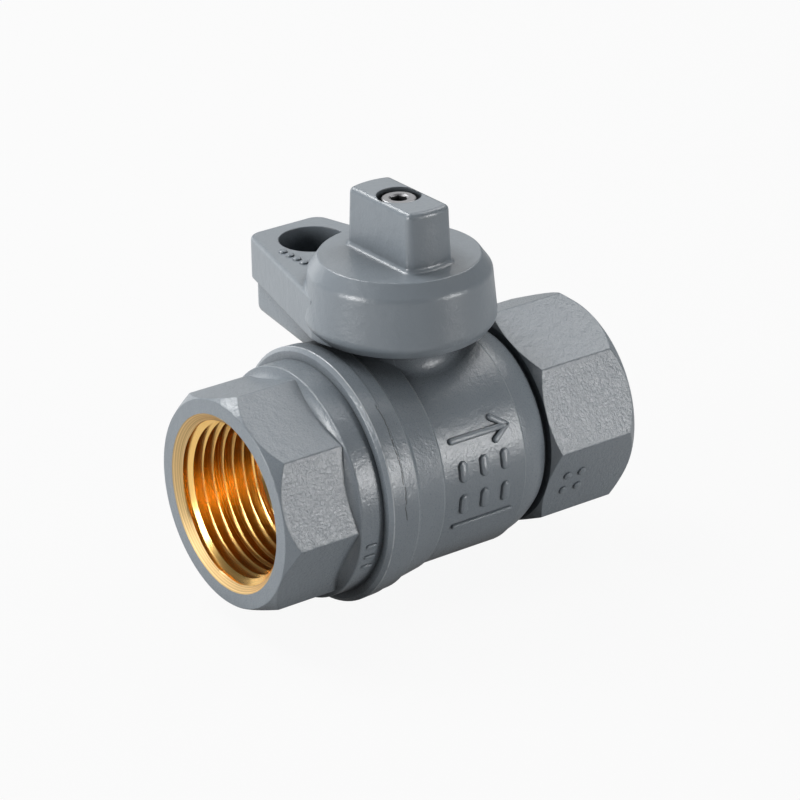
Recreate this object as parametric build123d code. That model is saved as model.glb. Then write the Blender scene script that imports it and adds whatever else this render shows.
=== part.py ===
from build123d import *
from math import asin, atan, cos, hypot, pi, radians, sin, sqrt
import os

# Lock-wing gas meter ball valve with female pipe threads at both ends.
# X runs along the pipe from the inlet face, Z runs up the stem and Y points at the lock wings.
# The valve is drawn closed: the blade lies across the pipe and the two padlock holes line up.

# Driving dimensions, in millimetres
BODY_LENGTH = 80.5
STEM_X = 40.5
WRENCH_FLATS = 40.0
WRENCH_EDGE = 0.5
INLET_TWIST = 5.8

THREAD_R = 16.6
THREAD_DEPTH = 19.5
MOUTH_R = 17.1
MOUTH_DEPTH = 0.5
PORT_R = 12.7

BALL_R = 17.9
BALL_BORE_R = 12.5
SEAT_GAP = 0.1
SEAT_BACK = 14.6
SEAT_FACE = 9.9
SEAT_R = 16.5
SEAT_FIT = 0.05

END_CHAMFER = 2.4
FACE_R = 19.9
FLARE_START_X = 13.2
FLARE_START_R = 19.5
FLARE_SAG = 0.25
COLLAR_X = 15.1
COLLAR_R = 22.2
COLLAR_ROUND = 0.3
JOINT_X = 20.1

RING_R = 24.5
RING_BEVEL = 0.8
RING_BEVEL_LENGTH = 0.7
MACHINED_END_X = 23.9
FIRST_STEP_X = 26.7
FIRST_STEP_R = 24.0
FIRST_STEP_DROP = 0.6
FIRST_STEP_LENGTH = 0.9
SECOND_STEP_X = 33.6
SECOND_STEP_R = 22.5
BAND_STEP = 0.15

BARREL_R = 21.95
BARREL_END_X = 52.7
SHOULDER_STEP = 0.4
SHOULDER_BULGE = 0.5
SHOULDER_END_X = 59.3
SHOULDER_END_R = 19.3
NECK_R = 18.4
REAR_HEX_X = 60.3
REAR_CHAMFER = 1.4

JOINT_THREAD_LENGTH = 6.0
JOINT_FIT = 0.05
NOSE_LENGTH = 2.4
NOSE_WALL = 1.75
NOSE_CLEAR = 0.3
CAVITY_HALF = 12.0
SEAL_SPACE = 1.7
SEAL_SQUEEZE = 0.02
SEAL_ROOM = 0.2

BOSS_R = 9.8
BOSS_TOP = 32.2
BOSS_BLEND = 3.2
STEM_R = 5.0
STEM_FIT = 0.05
SHOULDER_R = 7.2
SHOULDER_THICK = 2.3
BALL_TO_STEM = 0.3
WASHER_THICK = 1.0
WASHER_GAP = 0.1
TANG_WIDTH = 4.6
TANG_LENGTH = 12.6
TANG_DEPTH = 3.4
TANG_FIT = 0.1
SLOT_FLOOR_GAP = 0.3
DRIVE_FLATS = 6.6
DRIVE_START = 33.0
DRIVE_TOP = 43.0
DRIVE_FIT = 0.1
O_RING_R = 0.8
O_RING_Z = (25.2, 28.8)
GROOVE_WIDTH = 2.0

CAP_BOTTOM = 24.95
CAP_TOP = 39.35
CAP_FOOT_R = 16.2
CAP_FOOT_ROUND = 0.8
CAP_SKIRT_R = 18.0
CAP_SKIRT_Z = 27.2
CAP_SKIRT_ROUND = 2.2
CAP_SHOULDER_R = 17.15
CAP_SHOULDER_Z = 36.5
CAP_SHOULDER_ROUND = 2.0
CAP_TOP_R = 15.1
CAP_CREASE_ROUND = 0.35
CAP_CAVITY_R = 14.4
CAP_CEILING = 33.2
BLADE_TOP = 50.6
BLADE_HALF = 5.1
BLADE_HALF_LENGTH = 10.6
BLADE_END_R = 13.0
BLADE_DRAFT = 2.2
BLADE_CORNER = 1.7
BLADE_EDGE = 1.1
BLADE_FOOT = 0.9

STOP_FLANGE_R = 13.8
STOP_FLANGE_TOP = 29.8
STOP_START = 20.0
STOP_END = 160.0
TURN = 90.0
STOP_SLACK = 1.5
STOP_CLEAR = 0.5
CAP_STOP_BOTTOM = 26.2

WING_TIP = 38.2
WING_HALF = 8.2
WING_TOP = 33.15
WING_TANGENT_R = 17.6
WING_CORNER = 3.2
WING_EDGE = 0.8
WING_ROOT = 0.6
HEEL_SWEEP = 18.0
HEEL_DEPTH = 1.35
LOCK_HOLE_Y = 28.2
LOCK_HOLE_R = 6.5
LUG_INSET = 0.6
LUG_TANGENT_R = 13.1
LUG_BOTTOM = 17.6
LUG_GAP = 0.4
LUG_EDGE = 1.6

SCREW_R = 2.0
SCREW_LENGTH = 10.0
SCREW_HOLE_R = 2.25
SCREW_HEAD_R = 3.3
SCREW_HEAD_HEIGHT = 4.0
SCREW_HEAD_EDGE = 0.45
SCREW_SOCKET = 3.0
SCREW_SOCKET_DEPTH = 2.2
SCREW_SOCKET_SINK = 0.35
SCREW_RECESS = 0.45
COUNTERBORE_R = 4.15
TAP_EXTRA = 1.5

# Sizes that follow from the driving ones
OUTLET_X = BODY_LENGTH
CORNER_R = WRENCH_FLATS / 2 / cos(pi / 8)
SEAT_SPHERE_R = BALL_R + SEAT_GAP
JOINT_END_X = JOINT_X + JOINT_THREAD_LENGTH
NOSE_END_X = JOINT_END_X + NOSE_LENGTH
NOSE_R = SEAT_R + SEAT_FIT + NOSE_WALL
CAVITY_R = NOSE_R + NOSE_CLEAR
JOINT_THREAD_R = NOSE_R + SEAL_SPACE
SEAL_R = SEAL_SPACE / 2 - SEAL_SQUEEZE
CAVITY_START_X = JOINT_END_X + 2 * SEAL_R + SEAL_ROOM
CAVITY_END_X = STEM_X + CAVITY_HALF
STEM_SHOULDER_Z = BALL_R + BALL_TO_STEM
WASHER_Z = STEM_SHOULDER_Z + SHOULDER_THICK
RECESS_TOP = WASHER_Z + WASHER_THICK + WASHER_GAP
RECESS_R = SHOULDER_R + 2 * STEM_FIT
TANG_BOTTOM = STEM_SHOULDER_Z - TANG_DEPTH
HEAD_TOP = BLADE_TOP - SCREW_RECESS
HEAD_SEAT = HEAD_TOP - SCREW_HEAD_HEIGHT
SCREW_END = HEAD_SEAT - SCREW_LENGTH
LUG_TOP = CAP_BOTTOM - LUG_GAP
EDGE_OVERRUN = 1.0
NEAR = 0.01


def around_pipe(face):
    """A solid turned round the pipe axis from a face in the XZ plane."""
    return revolve(face, Axis.X)


def around_stem(face):
    """A solid turned round the stem axis from a face drawn at the origin."""
    return Pos(STEM_X, 0, 0) * revolve(face, Axis.Z)


def half_section(*points):
    """A closed face in the XZ plane through the given points."""
    return make_face(Polyline(*[(p[0], 0, p[1]) for p in points], close=True))


def pipe_bore(x_start, x_end, radius):
    """A round plug along the pipe, used to cut bores."""
    length = x_end - x_start
    return Pos(x_start + length / 2, 0, 0) * Rot(0, 90, 0) * Cylinder(radius, length)


def post(z_start, z_end, radius):
    """A round plug along the stem axis."""
    height = z_end - z_start
    return Pos(STEM_X, 0, z_start + height / 2) * Cylinder(radius, height)


def octagon_bar(x_start, x_end, twist):
    """An eight-sided bar along the pipe with a corner pointing up when the twist is zero."""
    outline = RegularPolygon(CORNER_R, 8)
    outline = fillet(outline.vertices(), WRENCH_EDGE)
    bar = extrude(Plane.YZ.offset(x_start) * outline, x_end - x_start)
    return Rot(twist, 0, 0) * bar


def end_envelope(x_face, x_end):
    """The turned outline that chamfers the corners of a wrench octagon at its open face."""
    inward = 1 if x_end > x_face else -1
    corner_x = x_face + inward * END_CHAMFER
    reach = CORNER_R + EDGE_OVERRUN
    slope = (CORNER_R - FACE_R) / END_CHAMFER
    beyond_x = corner_x + inward * EDGE_OVERRUN / slope
    outline = half_section((x_face, 0), (x_face, FACE_R), (beyond_x, reach), (x_end, reach), (x_end, 0))
    return around_pipe(outline)


def thread_bore(x_face, inward):
    """The tapped bore at one end: a short countersink and a plain bore at the thread's outer size."""
    outside_x = x_face - inward * EDGE_OVERRUN
    outside_r = MOUTH_R + (MOUTH_R - THREAD_R) * EDGE_OVERRUN / MOUTH_DEPTH
    port_x = x_face + inward * (THREAD_DEPTH + (THREAD_R - PORT_R) / 2)
    mouth = half_section(
        (outside_x, 0),
        (outside_x, outside_r),
        (x_face + inward * MOUTH_DEPTH, THREAD_R),
        (x_face + inward * THREAD_DEPTH, THREAD_R),
        (port_x, PORT_R),
        (port_x, 0),
    )
    return around_pipe(mouth)


def collar():
    """The round collar of the end cap, with the shallow flare that runs out of the wrench flats."""
    start = (FLARE_START_X, 0, 0)
    low = (FLARE_START_X, 0, FLARE_START_R)
    high = (COLLAR_X, 0, COLLAR_R - COLLAR_ROUND)
    middle = (
        (FLARE_START_X + COLLAR_X) / 2 + FLARE_SAG,
        0,
        (FLARE_START_R + COLLAR_R - COLLAR_ROUND) / 2 - FLARE_SAG,
    )
    round_off = COLLAR_ROUND * (1 - cos(pi / 4))
    round_mid = (COLLAR_X + round_off, 0, COLLAR_R - round_off)
    round_end = (COLLAR_X + COLLAR_ROUND, 0, COLLAR_R)
    outline = [
        Line(start, low),
        ThreePointArc(low, middle, high),
        ThreePointArc(high, round_mid, round_end),
        Polyline(round_end, (JOINT_X, 0, COLLAR_R), (JOINT_X, 0, 0), start),
    ]
    return around_pipe(make_face(outline))


def end_cap():
    """The screwed-in inlet piece: wrench octagon, collar, threaded spigot and seat pocket."""
    grip = octagon_bar(0, COLLAR_X + COLLAR_ROUND, INLET_TWIST) & end_envelope(0, COLLAR_X + COLLAR_ROUND)
    spigot = pipe_bore(JOINT_X - EDGE_OVERRUN, JOINT_END_X, JOINT_THREAD_R - JOINT_FIT)
    nose = pipe_bore(JOINT_END_X - EDGE_OVERRUN, NOSE_END_X, NOSE_R)
    solid = grip + collar() + spigot + nose
    seat_floor = STEM_X - SEAT_BACK
    solid -= thread_bore(0, 1)
    solid -= pipe_bore(THREAD_DEPTH, NOSE_END_X + EDGE_OVERRUN, PORT_R)
    solid -= pipe_bore(seat_floor, NOSE_END_X + EDGE_OVERRUN, SEAT_R + SEAT_FIT)
    return solid


def body_shell():
    """The outer form of the body round the pipe: bevelled ring, stepped bands, barrel and neck."""
    bevel_x = JOINT_X + RING_BEVEL_LENGTH
    shoulder_start = BARREL_R - SHOULDER_STEP
    mid_x = (BARREL_END_X + SHOULDER_END_X) / 2
    mid_r = (shoulder_start + SHOULDER_END_R) / 2 + SHOULDER_BULGE
    rise = [
        (JOINT_X, 0),
        (JOINT_X, RING_R - RING_BEVEL),
        (bevel_x, RING_R),
        (MACHINED_END_X, RING_R - BAND_STEP),
        (MACHINED_END_X, RING_R - 2 * BAND_STEP),
        (FIRST_STEP_X, FIRST_STEP_R),
        (FIRST_STEP_X + FIRST_STEP_LENGTH, FIRST_STEP_R - FIRST_STEP_DROP),
        (SECOND_STEP_X, SECOND_STEP_R),
        (SECOND_STEP_X + (SECOND_STEP_R - BARREL_R), BARREL_R),
        (BARREL_END_X, BARREL_R),
        (BARREL_END_X + SHOULDER_STEP, shoulder_start),
    ]
    points = [(p[0], 0, p[1]) for p in rise]
    shoulder_end = (SHOULDER_END_X, 0, SHOULDER_END_R)
    tail = [
        (SHOULDER_END_X, 0, NECK_R),
        (REAR_HEX_X + EDGE_OVERRUN, 0, NECK_R),
        (REAR_HEX_X + EDGE_OVERRUN, 0, 0),
    ]
    outline = [
        Polyline(*points),
        ThreePointArc(points[-1], (mid_x, 0, mid_r), shoulder_end),
        Polyline(shoulder_end, *tail, points[0]),
    ]
    return around_pipe(make_face(outline))


def rear_octagon():
    """The outlet wrench octagon, with its corners turned off at both ends."""
    slope = (CORNER_R - WRENCH_FLATS / 2) / REAR_CHAMFER
    reach = CORNER_R + EDGE_OVERRUN
    front = half_section(
        (REAR_HEX_X, 0),
        (REAR_HEX_X, WRENCH_FLATS / 2),
        (REAR_HEX_X + (reach - WRENCH_FLATS / 2) / slope, reach),
        (OUTLET_X, reach),
        (OUTLET_X, 0),
    )
    bar = octagon_bar(REAR_HEX_X, OUTLET_X, 0)
    return bar & around_pipe(front) & end_envelope(OUTLET_X, REAR_HEX_X)


def boss_blend():
    """The stem boss standing on the barrel, with the large cast fillet between them."""
    half = BOSS_R + BOSS_BLEND + EDGE_OVERRUN
    barrel = pipe_bore(STEM_X - 2 * half, STEM_X + 2 * half, BARREL_R)
    boss = post(0, BOSS_TOP, BOSS_R)
    joined = barrel + boss
    raised = [e for e in joined.edges() if e.bounding_box().min.Z > BARREL_R / 2]
    foot = [e for e in raised if e.bounding_box().max.Z < BARREL_R + EDGE_OVERRUN]
    blended = fillet(foot, BOSS_BLEND)
    keep = Pos(STEM_X, 0, BOSS_TOP) * Box(2 * (BARREL_END_X - STEM_X), 4 * half, 2 * BOSS_TOP)
    return blended & keep


def wing_touch(tip, half_width, tangent_r):
    """The angle from the X axis at which the side of a lock wing touches a circle round the stem."""
    return asin(tangent_r / hypot(half_width, tip)) - atan(half_width / tip)


def wing_plan(tip, half_width, tangent_r):
    """The plan of a lock wing, with sides that run back to touch a circle round the stem."""
    touch = wing_touch(tip, half_width, tangent_r)
    root = (tangent_r * cos(touch), tangent_r * sin(touch))
    outline = Polyline((half_width, tip), root, (0, 0), (-root[0], root[1]), (-half_width, tip), close=True)
    plan = make_face(outline)
    corners = plan.vertices().sort_by(Axis.Y)[-2:]
    return fillet(corners, WING_CORNER)


def wing_plate(plan, z_start, z_end):
    """A lock wing blank over the stem axis."""
    return Pos(STEM_X, 0, z_start) * extrude(plan, z_end - z_start)


def lock_hole():
    """A round plug through both lock wings, where the padlock goes."""
    height = WING_TOP - LUG_BOTTOM + 2 * EDGE_OVERRUN
    return Pos(STEM_X, LOCK_HOLE_Y, (WING_TOP + LUG_BOTTOM) / 2) * Cylinder(LOCK_HOLE_R, height)


def lock_lug():
    """The fixed lower wing, cast with the body, with well rounded lower edges."""
    tip = WING_TIP - LUG_INSET
    plan = wing_plan(tip, WING_HALF - LUG_INSET, LUG_TANGENT_R)
    plate = wing_plate(plan, LUG_BOTTOM, LUG_TOP)
    low = [e for e in plate.edges() if e.bounding_box().max.Z < LUG_BOTTOM + NEAR]
    low = [e for e in low if e.center().Y > LUG_TANGENT_R / 2]
    return fillet(low, LUG_EDGE)


def stop_sector(start, end, inner, outer, z_start, z_end):
    """A ring sector round the stem between two angles from the X axis."""
    sweep = end - start
    middle = radians(start + sweep / 2)
    a = radians(start)
    b = radians(end)
    outline = [
        Line((inner * cos(a), inner * sin(a)), (outer * cos(a), outer * sin(a))),
        ThreePointArc(
            (outer * cos(a), outer * sin(a)),
            (outer * cos(middle), outer * sin(middle)),
            (outer * cos(b), outer * sin(b)),
        ),
        Line((outer * cos(b), outer * sin(b)), (inner * cos(b), inner * sin(b))),
        ThreePointArc(
            (inner * cos(b), inner * sin(b)),
            (inner * cos(middle), inner * sin(middle)),
            (inner * cos(a), inner * sin(a)),
        ),
    ]
    return Pos(STEM_X, 0, z_start) * extrude(make_face(outline), z_end - z_start)


def valve_body():
    """The forged body: shell, outlet octagon, boss, stop sector and fixed lock wing."""
    stop = stop_sector(STOP_START, STOP_END, BOSS_R / 2, STOP_FLANGE_R, 0, STOP_FLANGE_TOP)
    solid = body_shell() + rear_octagon() + boss_blend() + lock_lug() + stop
    seat_floor = STEM_X + SEAT_BACK
    solid -= thread_bore(OUTLET_X, -1)
    solid -= pipe_bore(STEM_X, OUTLET_X - THREAD_DEPTH, PORT_R)
    solid -= pipe_bore(STEM_X, seat_floor, SEAT_R + SEAT_FIT)
    solid -= pipe_bore(CAVITY_START_X, CAVITY_END_X, CAVITY_R)
    solid -= pipe_bore(JOINT_X - EDGE_OVERRUN, CAVITY_START_X, JOINT_THREAD_R)
    solid -= post(0, RECESS_TOP, RECESS_R)
    solid -= post(0, BOSS_TOP + EDGE_OVERRUN, STEM_R + STEM_FIT)
    return solid - lock_hole()


def ball():
    """The bored ball, turned closed so that its bore lies along Y, with the tang slot in its top."""
    sphere = Pos(STEM_X, 0, 0) * Sphere(BALL_R)
    bore = Pos(STEM_X, 0, 0) * Rot(90, 0, 0) * Cylinder(BALL_BORE_R, 2 * BALL_R + EDGE_OVERRUN)
    slot_floor = TANG_BOTTOM - SLOT_FLOOR_GAP
    slot_height = BALL_R - slot_floor + EDGE_OVERRUN
    slot = Box(2 * BALL_R, TANG_WIDTH + 2 * TANG_FIT, slot_height)
    slot = Pos(STEM_X, 0, slot_floor + slot_height / 2) * slot
    return sphere - bore - slot


def seat(turn):
    """A seat ring with a spherical face that fits the ball, turned half round for the inlet side."""
    outer_touch = sqrt(SEAT_SPHERE_R**2 - SEAT_FACE**2)
    inner_touch = sqrt(SEAT_SPHERE_R**2 - PORT_R**2)
    mid_angle = (atan(outer_touch / SEAT_FACE) + atan(PORT_R / inner_touch)) / 2
    rim = (SEAT_FACE, 0, outer_touch)
    lip = (inner_touch, 0, PORT_R)
    middle = (SEAT_SPHERE_R * cos(mid_angle), 0, SEAT_SPHERE_R * sin(mid_angle))
    outline = [
        ThreePointArc(lip, middle, rim),
        Polyline(rim, (SEAT_FACE, 0, SEAT_R), (SEAT_BACK, 0, SEAT_R), (SEAT_BACK, 0, PORT_R), lip),
    ]
    return Pos(STEM_X, 0, 0) * Rot(0, 0, turn) * around_pipe(make_face(outline))


def body_seal():
    """The seal ring round the nose of the end cap, inside the body joint."""
    centre_r = (JOINT_THREAD_R + NOSE_R) / 2
    centre_x = JOINT_END_X + SEAL_R + SEAL_SQUEEZE
    return Pos(centre_x, 0, 0) * Rot(0, 90, 0) * Torus(centre_r, SEAL_R)


def stem():
    """The blow-out-proof stem: tang, shoulder, grooved shank, square drive and tapped top."""
    shoulder = post(STEM_SHOULDER_Z, WASHER_Z, SHOULDER_R)
    shank = post(WASHER_Z, DRIVE_START, STEM_R)
    tang = Box(TANG_LENGTH, TANG_WIDTH, TANG_DEPTH + EDGE_OVERRUN)
    tang = Pos(STEM_X, 0, TANG_BOTTOM + (TANG_DEPTH + EDGE_OVERRUN) / 2) * tang
    tang &= post(0, DRIVE_TOP, TANG_LENGTH / 2)
    tang &= Pos(STEM_X, 0, 0) * Sphere(STEM_SHOULDER_Z + EDGE_OVERRUN)
    drive = Box(DRIVE_FLATS, DRIVE_FLATS, DRIVE_TOP - DRIVE_START)
    drive = Pos(STEM_X, 0, (DRIVE_START + DRIVE_TOP) / 2) * drive
    solid = shoulder + shank + tang + drive
    for z in O_RING_Z:
        groove = post(z - GROOVE_WIDTH / 2, z + GROOVE_WIDTH / 2, STEM_R + EDGE_OVERRUN)
        groove -= post(z - GROOVE_WIDTH, z + GROOVE_WIDTH, STEM_R - 2 * O_RING_R)
        solid -= groove
    return solid - post(SCREW_END - TAP_EXTRA, DRIVE_TOP + EDGE_OVERRUN, SCREW_R)


def stem_o_ring(z):
    """One of the two rings that seal the stem in the boss."""
    return Pos(STEM_X, 0, z) * Torus(STEM_R - O_RING_R, O_RING_R)


def thrust_washer():
    """The washer between the stem shoulder and the inside of the boss."""
    disc = post(WASHER_Z, WASHER_Z + WASHER_THICK, SHOULDER_R)
    return disc - post(WASHER_Z - EDGE_OVERRUN, RECESS_TOP, STEM_R + STEM_FIT)


def cap_skirt():
    """The round skirt of the lock-wing cap: rounded foot, drafted wall, bevelled shoulder and flat top."""
    corners = [
        (0, 0, CAP_BOTTOM),
        (CAP_FOOT_R, 0, CAP_BOTTOM),
        (CAP_SKIRT_R, 0, CAP_SKIRT_Z),
        (CAP_SHOULDER_R, 0, CAP_SHOULDER_Z),
        (CAP_TOP_R, 0, CAP_TOP),
        (0, 0, CAP_TOP),
    ]
    rounds = [CAP_FOOT_ROUND, CAP_SKIRT_ROUND, CAP_SHOULDER_ROUND, CAP_CREASE_ROUND]
    side = FilletPolyline(*corners, radius=rounds)
    axis = Line(corners[-1], corners[0])
    return around_stem(make_face([side, axis]))


def cap_blade():
    """The tee blade on the cap, with flat sides, slightly rounded ends and draft."""
    height = BLADE_TOP - CAP_TOP
    plan = Rectangle(2 * BLADE_HALF, 4 * BLADE_HALF_LENGTH)
    for end in (-1, 1):
        plan &= Pos(0, end * (BLADE_HALF_LENGTH - BLADE_END_R)) * Circle(BLADE_END_R)
    plan = fillet(plan.vertices(), BLADE_CORNER)
    blade = extrude(plan, height, taper=BLADE_DRAFT)
    top = blade.faces().sort_by(Axis.Z)[-1]
    blade = fillet(top.edges(), BLADE_EDGE)
    return Pos(STEM_X, 0, CAP_TOP) * blade


def upper_wing():
    """The moving lock wing, which springs from the skirt of the cap."""
    plate = wing_plate(wing_plan(WING_TIP, WING_HALF, WING_TANGENT_R), CAP_BOTTOM, WING_TOP)
    tip_edges = [e for e in plate.edges() if e.bounding_box().min.Z > WING_TOP - NEAR]
    tip_edges = [e for e in tip_edges if e.center().Y > WING_TANGENT_R / 4]
    return fillet(tip_edges, WING_EDGE)


def wing_heels():
    """Fill the rounded foot of the skirt beside the wing, so that the wing's lower edge fades into it."""
    touch = wing_touch(WING_TIP, WING_HALF, WING_TANGENT_R)
    curve = []
    for share in (0, 0.5, 1):
        angle = touch - share * radians(HEEL_SWEEP)
        radius = WING_TANGENT_R - share * HEEL_DEPTH
        curve.append((radius * cos(angle), radius * sin(angle)))
    outline = [Line((0, 0), curve[0]), ThreePointArc(*curve), Line(curve[-1], (0, 0))]
    heel = extrude(make_face(outline), CAP_SKIRT_Z + CAP_FOOT_ROUND - CAP_BOTTOM)
    return Pos(STEM_X, 0, CAP_BOTTOM) * (heel + mirror(heel, Plane.YZ))


def blade_foot(solid):
    """Rounds the line where the blade stands on the top of the cap."""
    flat = [e for e in solid.edges() if e.bounding_box().size.Z < NEAR]
    level = [e for e in flat if abs(e.center().Z - CAP_TOP) < NEAR]
    foot = [e for e in level if e.bounding_box().size.X < 2 * BLADE_HALF + EDGE_OVERRUN]
    return fillet(foot, BLADE_FOOT)


def wing_root(solid):
    """Rounds the line where the top of the lock wing runs into the skirt."""
    flat = [e for e in solid.edges() if e.bounding_box().size.Z < NEAR]
    level = [e for e in flat if abs(e.center().Z - WING_TOP) < NEAR]
    root = [e for e in level if e.bounding_box().max.Y < CAP_SKIRT_R and e.geom_type == GeomType.CIRCLE]
    return fillet(root, WING_ROOT)


def inner_stop():
    """The stop inside the cap, which meets the sector on the boss at each end of the quarter turn."""
    return stop_sector(
        STOP_END + STOP_SLACK,
        STOP_START + 360 - TURN - STOP_SLACK,
        BOSS_R + STOP_CLEAR,
        CAP_CAVITY_R + EDGE_OVERRUN,
        CAP_STOP_BOTTOM,
        CAP_CEILING + EDGE_OVERRUN,
    )


def lock_wing_cap():
    """The handle: hollow cap with its blade, lock wing, inner stop and screw counterbore."""
    solid = blade_foot(cap_skirt() + cap_blade())
    solid = wing_root(solid + upper_wing()) + wing_heels()
    solid -= post(CAP_BOTTOM - EDGE_OVERRUN, CAP_CEILING, CAP_CAVITY_R)
    solid += inner_stop()
    socket_width = DRIVE_FLATS + 2 * DRIVE_FIT
    socket_low = CAP_CEILING - EDGE_OVERRUN
    socket_high = DRIVE_TOP + DRIVE_FIT
    socket = Box(socket_width, socket_width, socket_high - socket_low)
    solid -= Pos(STEM_X, 0, (socket_low + socket_high) / 2) * socket
    solid -= post(DRIVE_TOP - EDGE_OVERRUN, BLADE_TOP, SCREW_HOLE_R)
    solid -= post(HEAD_SEAT, BLADE_TOP + EDGE_OVERRUN, COUNTERBORE_R)
    return solid - lock_hole()


def handle_screw():
    """The socket-head screw that holds the cap on the stem."""
    head = post(HEAD_SEAT, HEAD_TOP, SCREW_HEAD_R)
    rim = head.edges().filter_by(GeomType.CIRCLE).sort_by(Axis.Z)[-1:]
    head = fillet(rim, SCREW_HEAD_EDGE)
    shank = post(SCREW_END, HEAD_SEAT, SCREW_R - JOINT_FIT)
    key = extrude(RegularPolygon(SCREW_SOCKET / sqrt(3), 6), SCREW_SOCKET_DEPTH + EDGE_OVERRUN)
    key = Pos(STEM_X, 0, HEAD_TOP - SCREW_SOCKET_DEPTH) * key
    sink_r = SCREW_SOCKET / sqrt(3) + SCREW_SOCKET_SINK / 2
    sink = Cone(sink_r - SCREW_SOCKET_SINK, sink_r, SCREW_SOCKET_SINK)
    sink = Pos(STEM_X, 0, HEAD_TOP - SCREW_SOCKET_SINK / 2) * sink
    return head + shank - key - sink


def write_node(name, shape):
    """Writes one sub-part to its own file."""
    export_step(shape, f"parts/{name}.step")


os.makedirs("parts", exist_ok=True)
write_node("valve_body", valve_body())
write_node("end_cap", end_cap())
write_node("ball", ball())
write_node("inlet_seat", seat(180))
write_node("outlet_seat", seat(0))
write_node("body_seal", body_seal())
write_node("stem", stem())
write_node("thrust_washer", thrust_washer())
write_node("lower_stem_o_ring", stem_o_ring(O_RING_Z[0]))
write_node("upper_stem_o_ring", stem_o_ring(O_RING_Z[1]))
write_node("lock_wing_cap", lock_wing_cap())
write_node("handle_screw", handle_screw())
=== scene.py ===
import bpy
from math import ceil, cos, pi, radians, sin
from mathutils import Matrix, Vector


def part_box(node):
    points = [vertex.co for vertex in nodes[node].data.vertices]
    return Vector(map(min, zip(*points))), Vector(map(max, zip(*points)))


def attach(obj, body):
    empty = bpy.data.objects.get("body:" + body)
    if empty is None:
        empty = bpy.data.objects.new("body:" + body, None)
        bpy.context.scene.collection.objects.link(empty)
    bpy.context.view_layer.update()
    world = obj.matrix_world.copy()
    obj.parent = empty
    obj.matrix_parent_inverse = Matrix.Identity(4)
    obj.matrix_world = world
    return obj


# Dressing for a lock-wing gas meter ball valve: painted casting, bare brass threads, steel screw.
# The frame is the part's own: X along the pipe from the inlet face, Z up the stem, Y at the lock wings.
# Lengths are in metres, angles round the pipe in degrees from its top.

MM = 0.001

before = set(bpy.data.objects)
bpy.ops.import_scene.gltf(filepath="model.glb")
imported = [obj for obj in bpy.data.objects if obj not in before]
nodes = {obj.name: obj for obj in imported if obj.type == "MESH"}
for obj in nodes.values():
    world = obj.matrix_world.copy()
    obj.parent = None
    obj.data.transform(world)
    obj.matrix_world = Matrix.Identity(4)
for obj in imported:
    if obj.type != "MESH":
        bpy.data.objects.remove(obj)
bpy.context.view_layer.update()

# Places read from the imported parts
OUTLET_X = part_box("valve_body")[1].x
STEM_X = (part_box("ball")[0].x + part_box("ball")[1].x) / 2
FLOOR_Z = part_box("valve_body")[0].z

WHITE = (1.0, 1.0, 1.0, 1.0)
SMOOTH_ANGLE = radians(35)

# Texture of the paint: the sizes of its features, and their depths as shares of the relief
PAINT_RELIEF = 0.1 * MM
SKIN_SIZE = 0.75 * MM
SKIN_RANGE = (0.32, 0.68)
PEEL_SIZE = 0.5 * MM
SWELL_SIZE = 1.9 * MM
SWELL_DEPTH = 0.8
GRAIN_SIZE = 0.16 * MM
GRAIN_DEPTH = 0.03
EDGE_ROUND = 0.35 * MM
BODY_CAST = 0.1
FLAT_CAST = 0.18
BODY_PEEL = 0.65
CAP_CAST = 0.1
CAP_CAST_SIZE = 6.0 * MM
CAP_PEEL = 0.4

# Gloss and colour of the paint
BODY_ROUGHNESS = 0.25
CAP_ROUGHNESS = 0.27
ROUGHNESS_SPREAD = 0.1
GRAIN_RANGE = (0.2, 0.8)
# Shine of the paint, lower where the surface is less open, along with the painted shade
SHINE_OPENNESS = (0.25, 0.75)
SHINE_RANGE = (0.1, 0.8)
PAINT_CLOUD_SIZE = 9.0 * MM
PAINT_DARK = (0.197, 0.226, 0.254)
PAINT_LIGHT = (0.224, 0.255, 0.284)
# Colour of the painted highlights along the ring's front edge and the steps
EDGE_HIGHLIGHT_COLOUR = (0.50, 0.53, 0.56)
CRACK_COLOUR = (0.05, 0.055, 0.06)

# Painted shade: colour darkened in the recesses and under the cap, where the surface is less open
SHADE_COLOUR = (0.03, 0.034, 0.038)
UNSHADED_OPENNESS = 0.85
SHADED_OPENNESS = 0.3
SHADE_MOST = 0.8
PAINT_RECESS = 14 * MM
SMALL_RECESS = 4 * MM
OPENNESS_SAMPLES = 8
ROUND_SAMPLES = 6

# The wrench grips, whose near and far flats are rougher than the rest of the casting
INLET_GRIP_END = 13.4 * MM
OUTLET_GRIP_START = 60.2 * MM
GRIP_FADE = 0.4 * MM
FLAT_FACING = (0.7, 0.9)
FACE_SKIN = 0.02 * MM

# Painted highlights along edges: lighter lines on the front of the body's ring, and on the steps behind
# it, broken up with noise
RING_EDGE_X = 20.8 * MM
RING_EDGE_R = 24.4 * MM
STEP_EDGES = (26.7 * MM, 33.55 * MM, 52.75 * MM)
STEP_EDGE_SHARE = 0.4
EDGE_HALF = 0.04 * MM
EDGE_FADE = 0.1 * MM
EDGE_BREAK_SIZE = 1.5 * MM
EDGE_BREAK_RANGE = (0.3, 0.5)
EDGE_BREAK = (0.2, 0.9)

# The hair crack in the front band
CRACK_X = 22.6 * MM
CRACK_WANDER = 1.9 * MM
CRACK_WANDER_SIZE = 5.0 * MM
CRACK_WANDER_ROUGHNESS = 0.6
CRACK_HALF = 0.08 * MM
CRACK_SIDE = 15.0 * MM
CRACK_LOW = -0.5 * MM
CRACK_FADE = 1.0 * MM
CRACK_GAP_SIZE = 1.6 * MM
CRACK_GAP_RANGE = (0.34, 0.44)
CRACK_DEPTH = 0.8

# Inner parts and the screw
SMALL_CLOUD_SIZE = 5.0 * MM

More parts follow.
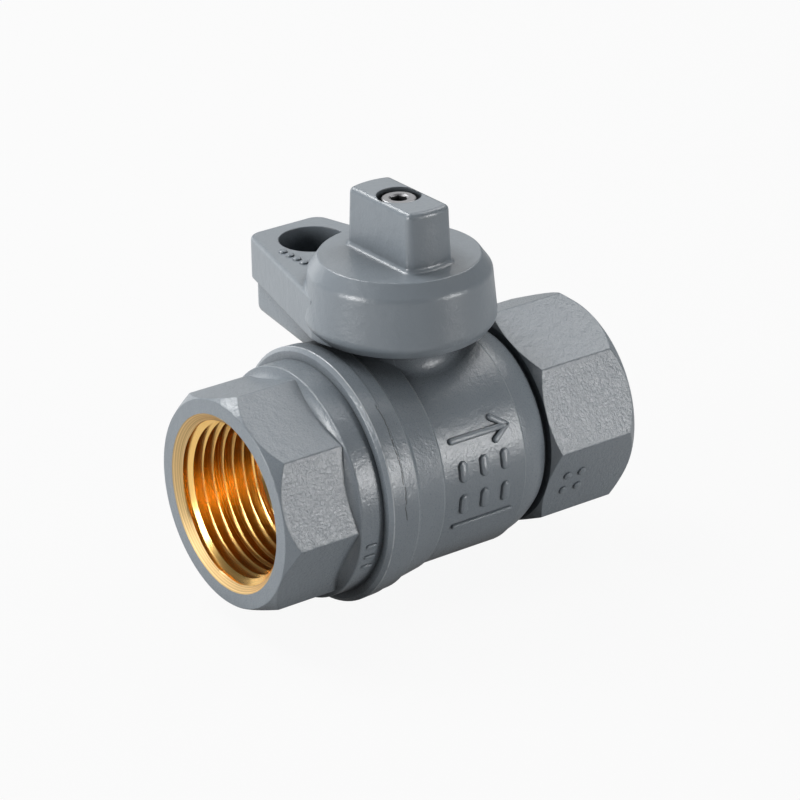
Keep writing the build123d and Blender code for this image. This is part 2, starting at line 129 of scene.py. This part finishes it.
# Turned brass
BRASS_LIGHT = (0.98, 0.64, 0.24)
BRASS_DEEP = (0.92, 0.56, 0.17)
BRASS_CLOUD_SIZE = 4.0 * MM
SCORE_DARK = (0.52, 0.35, 0.15)
SCORE_LIGHT = (0.88, 0.65, 0.34)
SCORE_RANGE = (0.35, 0.65)
LINE_SIZE = 0.16 * MM
LINE_RELIEF = 0.016 * MM
LINE_RANGE = (0.3, 0.7)
BRASS_ROUGHNESS = (0.16, 0.28)
MOUTH_BAND = 1.7 * MM
MOUTH_FADE = 0.2 * MM
MOUTH_DULL = 0.3
MOUTH_RAGGED_SIZE = 0.6 * MM
MOUTH_RAGGED = 0.12 * MM
MOUTH_PAINT_EDGE = 0.07 * MM

# Threads
PITCH = 25.4 * MM / 11.5
MOUTH_R = 17.1 * MM
ROOT_R = 16.58 * MM
CREST_R = 14.85 * MM
THREAD_START = 0.5 * MM
THREAD_END = 19.4 * MM
THREAD_TAPER = 1 / 32
THREAD_PHASE = 0.44
LINER_R = 16.59 * MM
RUNOUT_START = 15.5 * MM
COUNTERSINK_DEPTH = 1.0 * MM
GROOVE_FADE = 0.5 * MM
THREAD_TURN_STEPS = 240
SPARE_TURNS = 2
HALF_PROFILE = (0.0, 0.025, 0.06, 0.12, 0.2, 0.3, 0.4, 0.45, 0.48)
CREST_FLAT = 0.05
ROOT_FLAT = 0.04

# Raised marks
MARK_END_STEPS = 10
MARK_SINK = 0.4 * MM
MARK_HEIGHT = 0.6 * MM
MARK_SOFT_EDGE = 0.3
BARREL_R = 21.95 * MM
BARREL_MARK_X = 43.2 * MM
ARROW_ANGLE = 65.0
ARROW_LENGTH = 14.0 * MM
ARROW_WIDTH = 1.3 * MM
ARROW_HEAD = 5.0 * MM
ARROW_SPREAD = radians(35)
STUD_ANGLES = (81.0, 98.0)
STUD_COUNT = 3
STUD_STEP = 4.8 * MM
STUD_LENGTH = 4.2 * MM
STUD_WIDTH = 2.0 * MM
BAR_ANGLE = 110.0
BAR_WIDTH = 1.0 * MM
COLLAR_R = 22.2 * MM
COLLAR_MARK_X = 17.6 * MM
COLLAR_MARK_COUNT = 3
COLLAR_MARK_ANGLE = 104.0
COLLAR_MARK_STEP = 6.5
COLLAR_MARK_LENGTH = 2.4 * MM
COLLAR_MARK_WIDTH = 0.9 * MM
COLLAR_MARK_HEIGHT = 0.35 * MM
FLAT_R = 20.0 * MM
FLAT_MARK_X = 66.5 * MM
FLAT_ANGLE = 112.5
FLAT_STUD_SIZE = 1.9 * MM
FLAT_STUD_HEIGHT = 0.45 * MM
FLAT_STUD_ALONG = 1.7 * MM
FLAT_STUD_ACROSS = 1.9 * MM
WING_TOP_Z = 33.15 * MM
WING_STUD_COUNT = 4
WING_STUD_Y = 19.3 * MM
WING_STUD_STEP = 2.3 * MM
WING_STUD_FROM_STEM = 8.2 * MM
WING_STUD_SIZE = 1.8 * MM
WING_STUD_HEIGHT = 0.4 * MM

# Floor and surroundings. The floor's reflection is brighter on the valve's inlet side.
FLOOR_HALF = 3.0
FLOOR_GREY = (0.42, 0.42, 0.42, 1.0)
FLOOR_SHOWN = 0.93
FLOOR_LEFT = (-0.81, 0.585)
FLOOR_SHEEN_WIDTH = 40 * MM
FLOOR_SHEEN_LOW = 0.15
FLOOR_SHEEN_HIGH = 0.75
WORLD_COLOUR = (0.60, 0.61, 0.63, 1.0)
WORLD_STRENGTH = 0.02
WORLD_SHEEN = 0.12
LIGHT_DISTANCE = 0.8

# Camera: the lens and place that line the model up with the photograph
VIEW_HEADING = radians(54.167)
VIEW_DOWN = radians(24.258)
VIEW_ROLL = radians(-0.882)
VIEW_DISTANCE = 680 * MM
VIEW_SLIDE_RIGHT = 1.571 * MM
VIEW_SLIDE_UP = 0.749 * MM
VIEW_TARGET = Vector((42, 0, 10)) * MM
FOCAL_PIXELS = 3633.7
PHOTO_PIXELS = 800
SENSOR_WIDTH = 36.0
CLIP_START = 0.01
CLIP_END = 20


# Shader helpers. The owner of the nodes is a material or the world.

def new_material(name):
    """An empty node material, ready for a shader."""
    material = bpy.data.materials.new(name)
    material.use_nodes = True
    material.node_tree.nodes.clear()
    return material


def add(owner, kind, inputs=None, **settings):
    """A shader node of that kind. An input that is a socket is linked, and any other is set."""
    tree = owner.node_tree
    made = tree.nodes.new("ShaderNode" + kind)
    for key, value in settings.items():
        setattr(made, key, value)
    for key, value in (inputs or {}).items():
        if isinstance(value, bpy.types.NodeSocket):
            tree.links.new(value, made.inputs[key])
        else:
            made.inputs[key].default_value = value
    return made


def place(material):
    """The point's own coordinates in the part's frame."""
    return add(material, "TexCoord").outputs["Object"]


def split(material, vector):
    """The three parts of a vector."""
    parts = add(material, "SeparateXYZ", {"Vector": vector})
    return parts.outputs["X"], parts.outputs["Y"], parts.outputs["Z"]


def maths(owner, operation, *values):
    """One step of arithmetic on sockets and numbers."""
    return add(owner, "Math", dict(enumerate(values)), operation=operation).outputs["Value"]


def ramp(material, value, low, high, to_low=0.0, to_high=1.0):
    """A smooth step from to_low to to_high as value goes from low to high."""
    inputs = {"Value": value, "From Min": low, "From Max": high, "To Min": to_low, "To Max": to_high}
    made = add(material, "MapRange", inputs, interpolation_type="SMOOTHSTEP")
    return made.outputs["Result"]


def between(material, value, start, end, soft):
    """One where value lies between start and end, with soft edges outside them."""
    rise = ramp(material, value, start - soft, start)
    fall = ramp(material, value, end + soft, end)
    return maths(material, "MULTIPLY", rise, fall)


def noise(material, vector, size, detail=3.0, roughness=0.5, distortion=0.0):
    """Noise with features of about that size."""
    inputs = {
        "Vector": vector,
        "Scale": 1 / size,
        "Detail": detail,
        "Roughness": roughness,
        "Distortion": distortion,
    }
    return add(material, "TexNoise", inputs).outputs["Fac"]


def blend_colours(material, factor, first, second):
    """A colour that goes from first to second with the factor."""
    made = add(material, "Mix", {"Factor": factor}, data_type="RGBA")
    colour_sockets = {6: first, 7: second}
    for index, value in colour_sockets.items():
        if isinstance(value, bpy.types.NodeSocket):
            material.node_tree.links.new(value, made.inputs[index])
        else:
            made.inputs[index].default_value = (*value, 1.0)
    return made.outputs[2]


def bump(material, height, depth, normal=None):
    """A normal bent by a height that runs from 0 to 1 over that depth."""
    inputs = {"Height": height, "Strength": 1.0, "Distance": depth}
    if normal is not None:
        inputs["Normal"] = normal
    return add(material, "Bump", inputs).outputs["Normal"]


def surface(material, **inputs):
    """The material's principled shader. An underscore in an input's name stands for a space."""
    named = {key.replace("_", " "): value for key, value in inputs.items()}
    return add(material, "BsdfPrincipled", named).outputs["BSDF"]


def finish_material(material, shader):
    """The material with the shader as its surface."""
    add(material, "OutputMaterial", {"Surface": shader})
    return material


def openness(material, reach):
    """One on an open surface, and less in the recesses that are narrower than about that reach."""
    return add(material, "AmbientOcclusion", {"Distance": reach}, samples=OPENNESS_SAMPLES).outputs["AO"]


def painted_shade(material, colour, open_share):
    """The colour with painted shade, darker where the surface is less open."""
    shade = ramp(material, open_share, UNSHADED_OPENNESS, SHADED_OPENNESS, 0.0, SHADE_MOST)
    return blend_colours(material, shade, colour, SHADE_COLOUR)


# Brass

def brass_shader(material, point):
    """Bare turned brass: fine tool lines round the pipe, and a duller, paler countersink at each mouth."""
    x = split(material, point)[0]
    along = add(material, "CombineXYZ", {"X": x}).outputs["Vector"]
    lines = noise(material, along, LINE_SIZE, detail=2.0)
    cloud = noise(material, point, BRASS_CLOUD_SIZE)
    from_middle = maths(material, "ABSOLUTE", maths(material, "SUBTRACT", x, OUTLET_X / 2))
    mouth_start = OUTLET_X / 2 - MOUTH_BAND
    mouth = ramp(material, from_middle, mouth_start, mouth_start + MOUTH_FADE)
    wall = blend_colours(material, cloud, BRASS_LIGHT, BRASS_DEEP)
    scored = blend_colours(material, ramp(material, lines, *SCORE_RANGE), SCORE_DARK, SCORE_LIGHT)
    colour = blend_colours(material, mouth, wall, scored)
    dull = maths(material, "MULTIPLY", mouth, MOUTH_DULL)
    rough = maths(material, "ADD", ramp(material, lines, *LINE_RANGE, *BRASS_ROUGHNESS), dull)
    normal = bump(material, lines, LINE_RELIEF)
    return surface(material, Base_Color=colour, Metallic=1.0, Roughness=rough, Normal=normal)


def brass_material():
    """Brass by itself, for the threads and the stem."""
    material = new_material("turned_brass")
    return finish_material(material, brass_shader(material, place(material)))


# Paint

def paint_height(material, point, cast, peel_depth, cut):
    """The relief of the paint: its pebbled skin, orange peel, swell and grain, less any cut."""
    skin = noise(material, point, SKIN_SIZE, detail=4.0, roughness=0.6, distortion=0.6)
    peel = noise(material, point, PEEL_SIZE, detail=2.0, distortion=0.3)
    swell = noise(material, point, SWELL_SIZE, detail=1.0)
    grain = noise(material, point, GRAIN_SIZE, detail=2.0)
    height = maths(material, "MULTIPLY", ramp(material, skin, *SKIN_RANGE), cast)
    for layer, depth in ((peel, peel_depth), (swell, SWELL_DEPTH), (grain, GRAIN_DEPTH)):
        height = maths(material, "ADD", height, maths(material, "MULTIPLY", layer, depth))
    return maths(material, "SUBTRACT", height, cut), grain


def paint_shader(material, point, cast, peel_depth, roughness, cut=0.0, edge=0.0):
    """Satin grey paint over a casting, with a pebbled skin, any cut, any painted highlight along an edge,
    and painted shade with less shine where the surface is less open.
    """
    height, grain = paint_height(material, point, cast, peel_depth, cut)
    rounded = add(material, "Bevel", {"Radius": EDGE_ROUND}, samples=ROUND_SAMPLES).outputs["Normal"]
    normal = bump(material, height, PAINT_RELIEF, rounded)
    cloud = noise(material, point, PAINT_CLOUD_SIZE)
    colour = blend_colours(material, cloud, PAINT_DARK, PAINT_LIGHT)
    # Painted highlight: a lighter colour along the edges that the mask gives
    colour = blend_colours(material, edge, colour, EDGE_HIGHLIGHT_COLOUR)
    colour = blend_colours(material, cut, colour, CRACK_COLOUR)
    # Painted shade: the colour darkens and the shine drops where the surface is less open, as in the
    # recesses and under the cap
    open_share = openness(material, PAINT_RECESS)
    colour = painted_shade(material, colour, open_share)
    shine = ramp(material, open_share, *SHINE_OPENNESS, *SHINE_RANGE)
    rough = ramp(material, grain, *GRAIN_RANGE, roughness, roughness + ROUGHNESS_SPREAD)
    return surface(material, Base_Color=colour, Roughness=rough, Normal=normal, Specular_IOR_Level=shine)


def crack_depth(material, point):
    """One in a hair-fine line that wanders across the near side of the body's front band."""
    x, y, z = split(material, point)
    around = add(material, "CombineXYZ", {"Y": y, "Z": z}).outputs["Vector"]
    wander = noise(material, around, CRACK_WANDER_SIZE, roughness=CRACK_WANDER_ROUGHNESS)
    line = maths(material, "ADD", maths(material, "MULTIPLY", wander, CRACK_WANDER), CRACK_X)
    away = maths(material, "ABSOLUTE", maths(material, "SUBTRACT", x, line))
    near = ramp(material, away, CRACK_HALF * 2, CRACK_HALF)
    broken = ramp(material, noise(material, around, CRACK_GAP_SIZE), *CRACK_GAP_RANGE)
    side = ramp(material, y, -CRACK_SIDE, -CRACK_SIDE - CRACK_FADE)
    low = ramp(material, z, CRACK_LOW - CRACK_FADE, CRACK_LOW)
    shown = maths(material, "MULTIPLY", maths(material, "MULTIPLY", side, low), broken)
    return maths(material, "MULTIPLY", near, shown)


def edge_highlights(material, point, radius):
    """Painted highlights: bright lines on the front edge of the body's ring and on the steps, broken up
    with noise.
    """
    x = split(material, point)[0]
    line = between(material, x, RING_EDGE_X - EDGE_HALF, RING_EDGE_X + EDGE_HALF, EDGE_FADE)
    outside = ramp(material, radius, RING_EDGE_R - EDGE_FADE, RING_EDGE_R)
    lines = maths(material, "MULTIPLY", line, outside)
    for edge_x in STEP_EDGES:
        step = between(material, x, edge_x - EDGE_HALF, edge_x + EDGE_HALF, EDGE_FADE)
        lines = maths(material, "ADD", lines, maths(material, "MULTIPLY", step, STEP_EDGE_SHARE))
    patchy = ramp(material, noise(material, point, EDGE_BREAK_SIZE), *EDGE_BREAK_RANGE, *EDGE_BREAK)
    return maths(material, "MULTIPLY", lines, patchy)


def casting_roughness(material, x):
    """How deep the pebbled skin is: deeper on the side flats of both grips, and none on the end faces."""
    facing = add(material, "TexCoord").outputs["Normal"]
    side = maths(material, "ABSOLUTE", split(material, facing)[1])
    on_inlet_grip = ramp(material, x, INLET_GRIP_END + GRIP_FADE, INLET_GRIP_END)
    on_outlet_grip = ramp(material, x, OUTLET_GRIP_START - GRIP_FADE, OUTLET_GRIP_START)
    on_grip = maths(material, "MAXIMUM", on_inlet_grip, on_outlet_grip)
    rough_flat = maths(material, "MULTIPLY", ramp(material, side, *FLAT_FACING), on_grip)
    cast = maths(material, "ADD", BODY_CAST, maths(material, "MULTIPLY", rough_flat, FLAT_CAST))
    off_the_faces = between(material, x, FACE_SKIN, OUTLET_X - FACE_SKIN, FACE_SKIN)
    return maths(material, "MULTIPLY", cast, off_the_faces)


def valve_material():
    """The painted casting, with bare brass inside the bores."""
    material = new_material("grey_cast_paint")
    point = place(material)
    x, y, z = split(material, point)
    across = add(material, "CombineXYZ", {"Y": y, "Z": z}).outputs["Vector"]
    radius = add(material, "VectorMath", {0: across}, operation="LENGTH").outputs["Value"]
    skin = casting_roughness(material, x)
    crack = maths(material, "MULTIPLY", crack_depth(material, point), CRACK_DEPTH)
    # Painted highlights along the ring's front edge and the steps
    edges = edge_highlights(material, point, radius)
    paint = paint_shader(material, point, skin, BODY_PEEL, BODY_ROUGHNESS, crack, edges)
    brass = brass_shader(material, point)
    ragged = maths(material, "MULTIPLY", noise(material, point, MOUTH_RAGGED_SIZE), MOUTH_RAGGED)
    ragged_radius = maths(material, "ADD", radius, ragged)
    inside = maths(material, "LESS_THAN", ragged_radius, MOUTH_R + MOUTH_PAINT_EDGE)
    mixed = add(material, "MixShader", {0: inside, 1: paint, 2: brass}).outputs["Shader"]
    return finish_material(material, mixed)


def cap_material():
    """The smoother painted casting of the cap."""
    material = new_material("grey_smooth_paint")
    point = place(material)
    cast = maths(material, "MULTIPLY", noise(material, point, CAP_CAST_SIZE), CAP_CAST)
    return finish_material(material, paint_shader(material, point, cast, CAP_PEEL, CAP_ROUGHNESS))


# Inner parts and the screw

def plain_material(name, first, second, metallic, roughness, grain_size, relief):
    """A two-tone material with fine grain, painted shade in its recesses, and a roughness that goes
    between two values.
    """
    material = new_material(name)
    point = place(material)
    grain = noise(material, point, grain_size)
    cloud = noise(material, point, SMALL_CLOUD_SIZE)
    colour = blend_colours(material, cloud, first, second)
    # Painted shade: the colour darkens in the recesses
    colour = painted_shade(material, colour, openness(material, SMALL_RECESS))
    rough = ramp(material, grain, *GRAIN_RANGE, *roughness)
    normal = bump(material, grain, relief)
    shader = surface(material, Base_Color=colour, Metallic=metallic, Roughness=rough, Normal=normal)
    return finish_material(material, shader)


def chrome_material():
    """The ball's polished plating."""
    return plain_material(
        "ball_plating",
        first=(0.74, 0.75, 0.77),
        second=(0.66, 0.67, 0.69),
        metallic=1.0,
        roughness=(0.05, 0.12),
        grain_size=0.8 * MM,
        relief=0.002 * MM,
    )


def steel_material():
    """The screw's zinc plated steel."""
    return plain_material(
        "zinc_steel",
        first=(0.42, 0.42, 0.43),
        second=(0.30, 0.30, 0.31),
        metallic=1.0,
        roughness=(0.36, 0.5),
        grain_size=0.25 * MM,
        relief=0.01 * MM,
    )


def seat_material():
    """The white plastic of the seats and the washer."""
    return plain_material(
        "seat_plastic",
        first=(0.86, 0.86, 0.84),
        second=(0.80, 0.80, 0.77),
        metallic=0.0,
        roughness=(0.35, 0.5),
        grain_size=0.5 * MM,
        relief=0.01 * MM,
    )


def rubber_material():
    """The black rubber of the seals."""
    return plain_material(
        "black_rubber",
        first=(0.02, 0.02, 0.02),
        second=(0.035, 0.035, 0.035),
        metallic=0.0,
        roughness=(0.5, 0.65),
        grain_size=0.4 * MM,
        relief=0.01 * MM,
    )


def dress(names, material):
    """Gives CAD nodes their better material."""
    for name in names:
        slots = nodes[name].data.materials
        for index in range(len(slots)):
            slots[index] = material
        if not len(slots):
            slots.append(material)


# Meshes

def mesh_object(name, points, faces):
    """A mesh object in the scene, shaded smooth up to an angle."""
    mesh = bpy.data.meshes.new(name)
    mesh.from_pydata(points, [], faces)
    mesh.validate()
    mesh.shade_smooth()
    made = bpy.data.objects.new(name, mesh)
    bpy.context.scene.collection.objects.link(made)
    mesh.set_sharp_from_angle(angle=SMOOTH_ANGLE)
    return made


# Threads

def groove_share(phase):
    """How far the thread form has gone from crest, 0, to root, 1, at a phase of the pitch."""
    rise = 2 * abs(phase - round(phase))
    return min(1.0, max(0.0, (rise - CREST_FLAT) / (1 - CREST_FLAT - ROOT_FLAT)))


def thread_radius(x, angle):
    """The radius of the tapped wall at a depth x from the face and an angle round the pipe, in radians."""
    phase = x / PITCH - angle / (2 * pi) - THREAD_PHASE
    crest = CREST_R - x * THREAD_TAPER
    root = ROOT_R - x * THREAD_TAPER
    fade = max(0.0, min(1.0, (THREAD_END - x) / (THREAD_END - RUNOUT_START)))
    start = max(0.0, min(1.0, (x - COUNTERSINK_DEPTH) / GROOVE_FADE))
    wall = crest + (root - crest) * groove_share(phase) * fade * start
    return max(wall, MOUTH_R - x)


def thread_rows():
    """Offsets of the mesh rows over one pitch, closer together at the crest and the root."""
    return [*HALF_PROFILE, *(1 - share for share in reversed(HALF_PROFILE[1:]))]


def thread_liner(name, face_x, inward):
    """The tapped wall at one end of the pipe, as a closed sleeve inside the CAD bore."""
    rows = thread_rows()
    turns = ceil((THREAD_END - THREAD_START) / PITCH) + SPARE_TURNS
    steps = THREAD_TURN_STEPS
    points = []
    index = {}

    def point(key, x, radius, step):
        if key not in index:
            index[key] = len(points)
            angle = 2 * pi * step / steps
            points.append((face_x + inward * x, radius * cos(angle), radius * sin(angle)))
        return index[key]

    def inner_rim(key, x, step):
        step %= steps
        return point((key, step), x, thread_radius(x, 2 * pi * step / steps), step)

    def outer_rim(key, x, step):
        step %= steps
        return point((key, step), x, LINER_R, step)

    def wall(row, step):
        if step == steps:
            step = 0
            row += len(rows)
        # Rows that would lie past either end of the liner fall onto its rim
        turn = row // len(rows) + step / steps - 1
        x = PITCH * (turn + rows[row % len(rows)] + THREAD_PHASE)
        if x <= THREAD_START:
            return inner_rim("front", THREAD_START, step)
        if x >= THREAD_END:
            return inner_rim("back", THREAD_END, step)
        return point((row, step), x, thread_radius(x, 2 * pi * step / steps), step)

    faces = []
    for step in range(steps):
        for row in range(-len(rows), turns * len(rows)):
            corners = [wall(row, step), wall(row + 1, step), wall(row + 1, step + 1), wall(row, step + 1)]
            loop = [corner for i, corner in enumerate(corners) if corner != corners[i - 1]]
            if len(set(loop)) > 2:
                faces.append(loop)
        ring = (step, step + 1)
        front = [inner_rim("front", THREAD_START, at) for at in ring]
        back = [inner_rim("back", THREAD_END, at) for at in ring]
        outer_front = [outer_rim("outer_front", THREAD_START, at) for at in ring]
        outer_back = [outer_rim("outer_back", THREAD_END, at) for at in ring]
        faces.append([outer_front[0], front[0], front[1], outer_front[1]])
        faces.append([outer_back[0], outer_front[0], outer_front[1], outer_back[1]])
        faces.append([back[0], outer_back[0], outer_back[1], back[1]])
    if inward < 0:
        faces = [list(reversed(face)) for face in faces]
    return mesh_object(name, points, faces)


def add_threads(brass):
    """The tapped liners of both ends."""
    for liner_name, face_x, inward in (("inlet_threads", 0.0, 1), ("outlet_threads", OUTLET_X, -1)):
        liner = thread_liner(liner_name, face_x, inward)
        liner.data.materials.append(brass)
        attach(liner, "valve")


# Raised casting marks

def on_pipe(x, angle, radius):
    """The frame of a mark on the outside of the pipe: X along the pipe and Z outward."""
    turn = Matrix.Rotation(radians(angle), 4, "X")
    return Matrix.Translation((x, 0, 0)) @ turn @ Matrix.Translation((0, 0, radius))


def mark_outline(length, width):
    """A flat outline with round ends, along X."""
    reach = (length - width) / 2
    outline = []
    for side in (1, -1):
        for step in range(MARK_END_STEPS + 1):
            angle = pi * step / MARK_END_STEPS - pi / 2
            outline.append((side * (reach + width / 2 * cos(angle)), side * width / 2 * sin(angle)))
    return outline


def raised_mark(name, frame_at, length, width, height=MARK_HEIGHT):
    """A low cast mark with soft top edges, sunk a little into the wall that it stands on."""
    inset = min(width / 3, height)
    layers = (
        (-MARK_SINK, 0.0),
        (height - inset, 0.0),
        (height - inset * MARK_SOFT_EDGE, inset * MARK_SOFT_EDGE),
        (height, inset),
    )
    rings = []
    for level, shrink in layers:
        outline = mark_outline(length - 2 * shrink, width - 2 * shrink)
        rings.append([frame_at @ Vector((x, y, level)) for x, y in outline])
    count = len(rings[0])
    points = [point for ring in rings for point in ring]
    faces = [list(reversed(range(count))), [(len(rings) - 1) * count + i for i in range(count)]]
    for layer in range(len(rings) - 1):
        for i in range(count):
            low = layer * count
            after = (i + 1) % count
            faces.append([low + i, low + after, low + count + after, low + count + i])
    return mesh_object(name, points, faces)


def cast_on(mark, body, paint):
    """Makes a mark part of a body, in its paint."""
    mark.data.materials.append(paint)
    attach(mark, body)


def flow_arrow():
    """A plain arrow on the barrel, from the inlet towards the outlet."""
    at = on_pipe(BARREL_MARK_X, ARROW_ANGLE, BARREL_R)
    marks = [raised_mark("flow_arrow_shaft", at, ARROW_LENGTH, ARROW_WIDTH)]
    tip = Matrix.Translation((ARROW_LENGTH / 2 - ARROW_WIDTH / 2, 0, 0))
    for name, side in (("flow_arrow_upper", 1), ("flow_arrow_lower", -1)):
        barb = at @ tip @ Matrix.Rotation(side * ARROW_SPREAD, 4, "Z")
        barb = barb @ Matrix.Translation((-ARROW_HEAD / 2 + ARROW_WIDTH / 2, 0, 0))
        marks.append(raised_mark(name, barb, ARROW_HEAD, ARROW_WIDTH))
    return marks


def barrel_studs():
    """Two rows of long studs that stand across the pipe, and a bar under them."""
    upright = Matrix.Rotation(radians(90), 4, "Z")
    marks = []
    for row, angle in enumerate(STUD_ANGLES):
        for index in range(STUD_COUNT):
            along = (index - (STUD_COUNT - 1) / 2) * STUD_STEP
            at = on_pipe(BARREL_MARK_X + along, angle, BARREL_R) @ upright
            marks.append(raised_mark(f"barrel_stud_{row + 1}_{index + 1}", at, STUD_LENGTH, STUD_WIDTH))
    at = on_pipe(BARREL_MARK_X, BAR_ANGLE, BARREL_R)
    marks.append(raised_mark("barrel_bar", at, ARROW_LENGTH, BAR_WIDTH))
    return marks


def collar_bars():
    """Short bars on the near side of the collar."""
    marks = []
    for index in range(COLLAR_MARK_COUNT):
        at = on_pipe(COLLAR_MARK_X, COLLAR_MARK_ANGLE + index * COLLAR_MARK_STEP, COLLAR_R)
        name = f"collar_bar_{index + 1}"
        marks.append(raised_mark(name, at, COLLAR_MARK_LENGTH, COLLAR_MARK_WIDTH, COLLAR_MARK_HEIGHT))
    return marks


def flat_studs():
    """Four round studs on a flat of the outlet grip."""
    marks = []
    for row, across in enumerate((-1, 1)):
        for column, along in enumerate((-1, 1)):
            at = on_pipe(FLAT_MARK_X + along * FLAT_STUD_ALONG, FLAT_ANGLE, FLAT_R)
            at = at @ Matrix.Translation((0, across * FLAT_STUD_ACROSS, 0))
            name = f"flat_stud_{row + 1}_{column + 1}"
            marks.append(raised_mark(name, at, FLAT_STUD_SIZE, FLAT_STUD_SIZE, FLAT_STUD_HEIGHT))
    return marks


def wing_studs():
    """A row of round studs beside the padlock hole, on top of the cap's wing."""
    marks = []
    for index in range(WING_STUD_COUNT):
        spot = Vector((STEM_X - WING_STUD_FROM_STEM, WING_STUD_Y + index * WING_STUD_STEP, WING_TOP_Z))
        at = Matrix.Translation(spot)
        name = f"wing_stud_{index + 1}"
        marks.append(raised_mark(name, at, WING_STUD_SIZE, WING_STUD_SIZE, WING_STUD_HEIGHT))
    return marks


def casting_marks(valve_paint, cap_paint):
    """Plain studs and bars where castings carry marks."""
    for mark in (*flow_arrow(), *barrel_studs(), *collar_bars(), *flat_studs()):
        cast_on(mark, "valve", valve_paint)
    for mark in wing_studs():
        cast_on(mark, "operator", cap_paint)


# Stage, lights and camera

def floor_material():
    """A pale floor that shows white to the camera and keeps a soft shadow."""
    material = new_material("pale_floor")
    rays = add(material, "LightPath").outputs
    seen = maths(material, "MAXIMUM", rays["Is Camera Ray"], rays["Is Transmission Ray"])
    matt = add(material, "BsdfDiffuse", {"Color": FLOOR_GREY}).outputs["BSDF"]
    glow = add(material, "Emission", {"Color": WHITE, "Strength": 1.0}).outputs["Emission"]
    x, y = split(material, place(material))[:2]
    along = maths(material, "MULTIPLY", x, FLOOR_LEFT[0])
    leftward = maths(material, "ADD", along, maths(material, "MULTIPLY", y, FLOOR_LEFT[1]))
    lit = ramp(material, leftward, 0.0, FLOOR_SHEEN_WIDTH, FLOOR_SHEEN_LOW, FLOOR_SHEEN_HIGH)
    mirrored = maths(material, "MULTIPLY", rays["Is Glossy Ray"], lit)
    share = maths(material, "MAXIMUM", maths(material, "MULTIPLY", seen, FLOOR_SHOWN), mirrored)
    mixed = add(material, "MixShader", {0: share, 1: matt, 2: glow}).outputs["Shader"]
    return finish_material(material, mixed)


def make_floor():
    """A square floor at the valve's lowest point."""
    corners = [(x, y, FLOOR_Z) for x, y in ((-1, -1), (1, -1), (1, 1), (-1, 1))]
    corners = [(x * FLOOR_HALF, y * FLOOR_HALF, z) for x, y, z in corners]
    floor = mesh_object("studio_floor", corners, [(0, 1, 2, 3)])
    floor.data.materials.append(floor_material())


def make_world():
    """Soft grey surroundings that the camera sees as white, and reflections as a little brighter."""
    world = bpy.data.worlds.new("studio")
    bpy.context.scene.world = world
    world.use_nodes = True
    world.node_tree.nodes.clear()
    rays = add(world, "LightPath").outputs
    soft = add(world, "Background", {"Color": WORLD_COLOUR, "Strength": WORLD_STRENGTH}).outputs[0]
    white = add(world, "Background", {"Color": WHITE, "Strength": 1.0}).outputs[0]
    share = maths(world, "MULTIPLY_ADD", rays["Is Glossy Ray"], WORLD_SHEEN, rays["Is Camera Ray"])
    mixed = add(world, "MixShader", {0: share, 1: soft, 2: white}).outputs["Shader"]
    add(world, "OutputWorld", {"Surface": mixed})


def make_softbox(name, turn, rise, width, height, power):
    """A rectangular light that faces the valve, at a turn from the camera and a rise, in degrees."""
    heading = VIEW_HEADING + pi + radians(turn)
    level = cos(radians(rise))
    direction = Vector((level * cos(heading), level * sin(heading), sin(radians(rise))))
    data = bpy.data.lights.new(name, "AREA")
    data.shape = "RECTANGLE"
    data.size = width
    data.size_y = height
    data.energy = power
    lamp = bpy.data.objects.new(name, data)
    bpy.context.scene.collection.objects.link(lamp)
    lamp.location = VIEW_TARGET + direction * LIGHT_DISTANCE
    lamp.rotation_mode = "QUATERNION"
    lamp.rotation_quaternion = (-direction).to_track_quat("-Z", "Y")


def make_lights():
    """Two side softboxes for the long highlights, and others low on the left, above and behind."""
    make_softbox("right_light", turn=66, rise=6, width=0.24, height=0.44, power=3.5)
    make_softbox("left_light", turn=-60, rise=14, width=0.20, height=0.38, power=4.2)
    make_softbox("left_low_light", turn=-135, rise=8, width=0.40, height=0.30, power=0.6)
    make_softbox("left_high_light", turn=-125, rise=52, width=0.40, height=0.40, power=4.8)
    make_softbox("right_high_light", turn=130, rise=52, width=0.40, height=0.40, power=1.9)
    make_softbox("back_light", turn=180, rise=28, width=0.40, height=0.30, power=0.42)


def view_axes():
    """The camera's right, up and forward directions."""
    level_part = cos(VIEW_DOWN)
    forward = Vector((level_part * cos(VIEW_HEADING), level_part * sin(VIEW_HEADING), -sin(VIEW_DOWN)))
    level = Vector((sin(VIEW_HEADING), -cos(VIEW_HEADING), 0))
    upright = level.cross(forward)
    right = level * cos(VIEW_ROLL) + upright * sin(VIEW_ROLL)
    up = upright * cos(VIEW_ROLL) - level * sin(VIEW_ROLL)
    return right, up, forward


def make_camera():
    """The camera at the photograph's place."""
    right, up, forward = view_axes()
    data = bpy.data.cameras.new("photo_camera")
    data.sensor_width = SENSOR_WIDTH
    data.lens = FOCAL_PIXELS / PHOTO_PIXELS * SENSOR_WIDTH
    data.clip_start = CLIP_START
    data.clip_end = CLIP_END
    camera = bpy.data.objects.new("photo_camera", data)
    bpy.context.scene.collection.objects.link(camera)
    spot = VIEW_TARGET - forward * VIEW_DISTANCE - right * VIEW_SLIDE_RIGHT - up * VIEW_SLIDE_UP
    turn = Matrix((right, up, -forward)).transposed().to_4x4()
    camera.matrix_world = Matrix.Translation(spot) @ turn
    bpy.context.scene.camera = camera


# Put together

valve_paint = valve_material()
cap_paint = cap_material()
brass = brass_material()

dress(["valve_body", "end_cap"], valve_paint)
dress(["lock_wing_cap"], cap_paint)
dress(["stem"], brass)
dress(["ball"], chrome_material())
dress(["handle_screw"], steel_material())
dress(["inlet_seat", "outlet_seat", "thrust_washer"], seat_material())
dress(["body_seal", "lower_stem_o_ring", "upper_stem_o_ring"], rubber_material())

add_threads(brass)
casting_marks(valve_paint, cap_paint)
make_floor()
make_world()
make_lights()
make_camera()
bpy.context.scene.view_settings.view_transform = "Standard"
